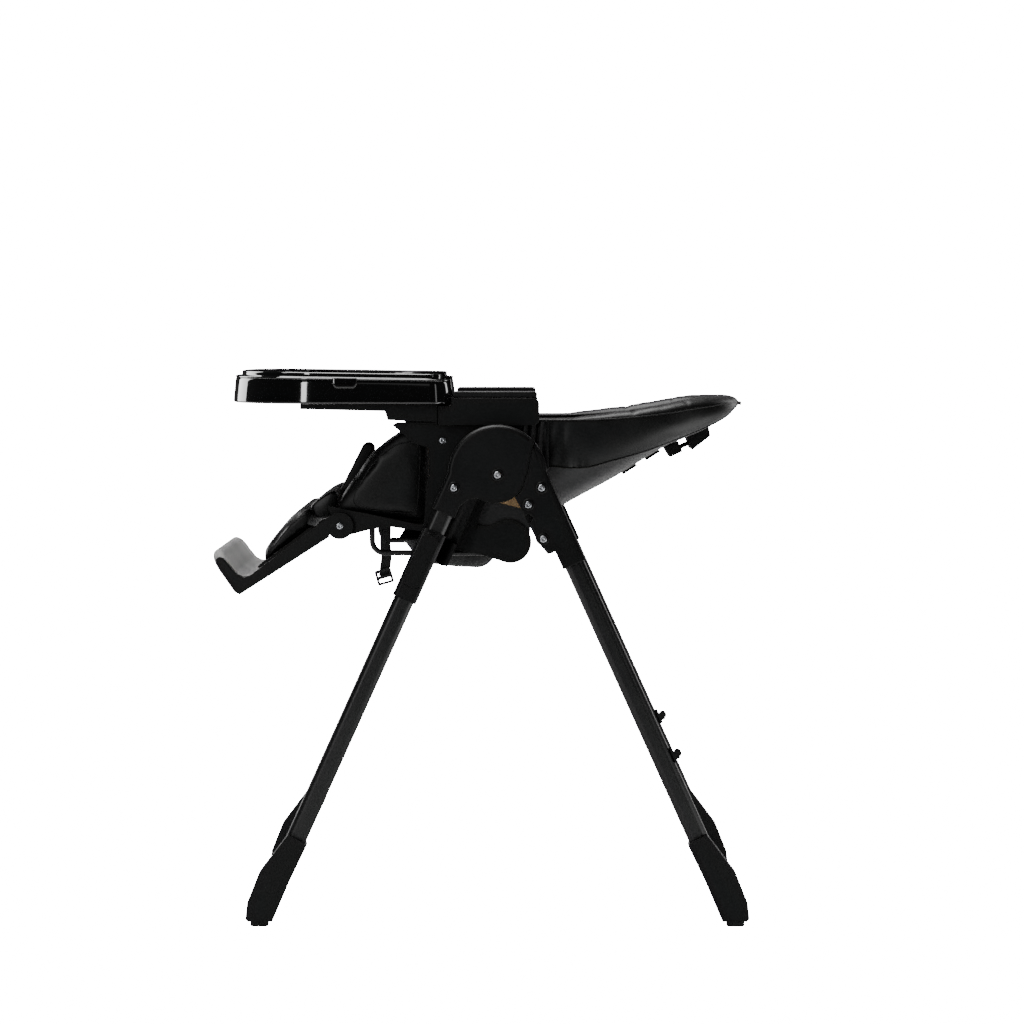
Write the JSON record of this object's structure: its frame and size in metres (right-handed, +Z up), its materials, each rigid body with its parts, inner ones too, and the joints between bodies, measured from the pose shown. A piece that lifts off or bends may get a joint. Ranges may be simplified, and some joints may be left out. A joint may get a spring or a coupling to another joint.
{
  "type": "baby high chair",
  "caption": "Folding high chair with a reclining bucket seat, sliding height sleeves, swinging legrest and removable tray.",
  "frame": {"origin": "on the floor, under the middle of the whole chair", "axes": "+Z up; the seat and tray face -X; +Y is the right side of the picture's far side, across the chair"},
  "size_m": [0.8339, 0.5276, 0.8632],
  "materials": {
    "frame_tube": "satin",
    "moulded_plastic": "matte",
    "shell_plastic": "satin",
    "tray_gloss": "gloss",
    "leatherette": "satin",
    "webbing": "matte",
    "buckle_plastic": "satin",
    "bolt_steel": "satin",
    "glide_rubber": "matte",
    "footrest_tread": "matte",
    "hardboard": "matte",
    "basket_cloth": "matte",
    "basket_wire": "satin"
  },
  "bodies": {
    "front_frame": {"front_leg_left": "frame_tube", "front_leg_right": "frame_tube", "front_cross_tube": "frame_tube", "front_foot_left": "moulded_plastic", "front_foot_right": "moulded_plastic", "front_glides": "glide_rubber", "front_hub_left": "moulded_plastic", "front_hub_right": "moulded_plastic", "front_hub_bolts": "bolt_steel", "pivot_bolts": "bolt_steel"},
    "rear_frame": {"rear_leg_left": "frame_tube", "rear_leg_right": "frame_tube", "rear_cross_tube": "frame_tube", "rear_foot_left": "moulded_plastic", "rear_foot_right": "moulded_plastic", "rear_glides": "glide_rubber", "rear_hub_left": "moulded_plastic", "rear_hub_right": "moulded_plastic", "rear_hub_bolts": "bolt_steel", "tray_hooks": "moulded_plastic"},
    "fold_catch_left": {"fold_catch_left": "moulded_plastic"},
    "fold_catch_right": {"fold_catch_right": "moulded_plastic"},
    "carriage": {"slider_left": "moulded_plastic", "slider_right": "moulded_plastic", "seat_base": "moulded_plastic", "side_frame_left": "moulded_plastic", "side_frame_right": "moulded_plastic", "armrest_left": "moulded_plastic", "armrest_right": "moulded_plastic", "armrest_caps": "leatherette", "seat_cushion": "leatherette", "cheek_pads": "leatherette", "crotch_post": "moulded_plastic", "hip_boards": "hardboard", "carriage_bolts": "bolt_steel", "basket_frame": "basket_wire", "basket_sling": "basket_cloth", "lap_straps": "webbing", "buckle_body": "buckle_plastic", "strap_tail": "webbing", "strap_slider": "buckle_plastic", "recline_pins": "bolt_steel", "hip_panels": "shell_plastic"},
    "height_button_left": {"height_button_left": "moulded_plastic"},
    "height_button_right": {"height_button_right": "moulded_plastic"},
    "buckle_button": {"buckle_button": "buckle_plastic"},
    "backrest": {"backrest_shell": "shell_plastic", "backrest_cover": "leatherette", "backrest_cushion": "leatherette", "shoulder_straps": "webbing", "harness_anchors": "moulded_plastic", "recline_housing": "moulded_plastic"},
    "recline_lever": {"recline_lever": "moulded_plastic"},
    "legrest": {"legrest_frame": "moulded_plastic", "calf_pad": "leatherette", "footrest": "footrest_tread"},
    "tray": {"tray_base": "tray_gloss", "tray_carriers": "moulded_plastic"},
    "tray_insert": {"tray_insert": "tray_gloss"},
    "tray_handle": {"tray_handle": "moulded_plastic"}
  },
  "joints": [
    {"name": "fold", "type": "hinge", "parent": "front_frame", "child": "rear_frame", "pos_m": [0.028, 0, 0.704], "axis": [0, 1, 0], "range_deg": [0, 48]},
    {"name": "catch_left", "type": "hinge", "parent": "rear_frame", "child": "fold_catch_left", "pos_m": [0.099, -0.22, 0.605], "axis": [0, -1, 0], "range_deg": [0, 12], "stiffness_Nm_per_rad": 0.8},
    {"name": "catch_right", "type": "hinge", "parent": "rear_frame", "child": "fold_catch_right", "pos_m": [0.099, 0.22, 0.605], "axis": [0, -1, 0], "range_deg": [0, 12], "stiffness_Nm_per_rad": 0.8},
    {"name": "seat_height", "type": "slide", "parent": "front_frame", "child": "carriage", "axis": [-0.4115, 0, -0.9114], "range_m": [0, 0.24]},
    {"name": "height_button_left", "type": "slide", "parent": "carriage", "child": "height_button_left", "axis": [0, 1, 0], "range_m": [0, 0.0015], "stiffness_N_per_m": 1200},
    {"name": "height_button_right", "type": "slide", "parent": "carriage", "child": "height_button_right", "axis": [0, -1, 0], "range_m": [0, 0.0015], "stiffness_N_per_m": 1200},
    {"name": "buckle_button", "type": "slide", "parent": "carriage", "child": "buckle_button", "axis": [0, 0, -1], "range_m": [0, 0.0015], "stiffness_N_per_m": 800},
    {"name": "recline", "type": "hinge", "parent": "carriage", "child": "backrest", "pos_m": [0.048, 0, 0.595], "axis": [0, -1, 0], "range_deg": [0, 45]},
    {"name": "recline_lever", "type": "slide", "parent": "backrest", "child": "recline_lever", "axis": [0.91, 0, 0.4147], "range_m": [0, 0.008], "stiffness_N_per_m": 400},
    {"name": "legrest", "type": "hinge", "parent": "carriage", "child": "legrest", "pos_m": [-0.219, 0, 0.621], "axis": [0, 1, 0], "range_deg": [-50, 25]},
    {"name": "tray_slide", "type": "slide", "parent": "carriage", "child": "tray", "axis": [-1, 0, 0], "range_m": [0, 0.05]},
    {"name": "insert_lift", "type": "slide", "parent": "tray", "child": "tray_insert", "axis": [0, 0, 1], "range_m": [0, 0.08]},
    {"name": "tray_handle", "type": "slide", "parent": "tray", "child": "tray_handle", "axis": [-1, 0, 0], "range_m": [0, 0.006], "stiffness_N_per_m": 300}
  ]
}
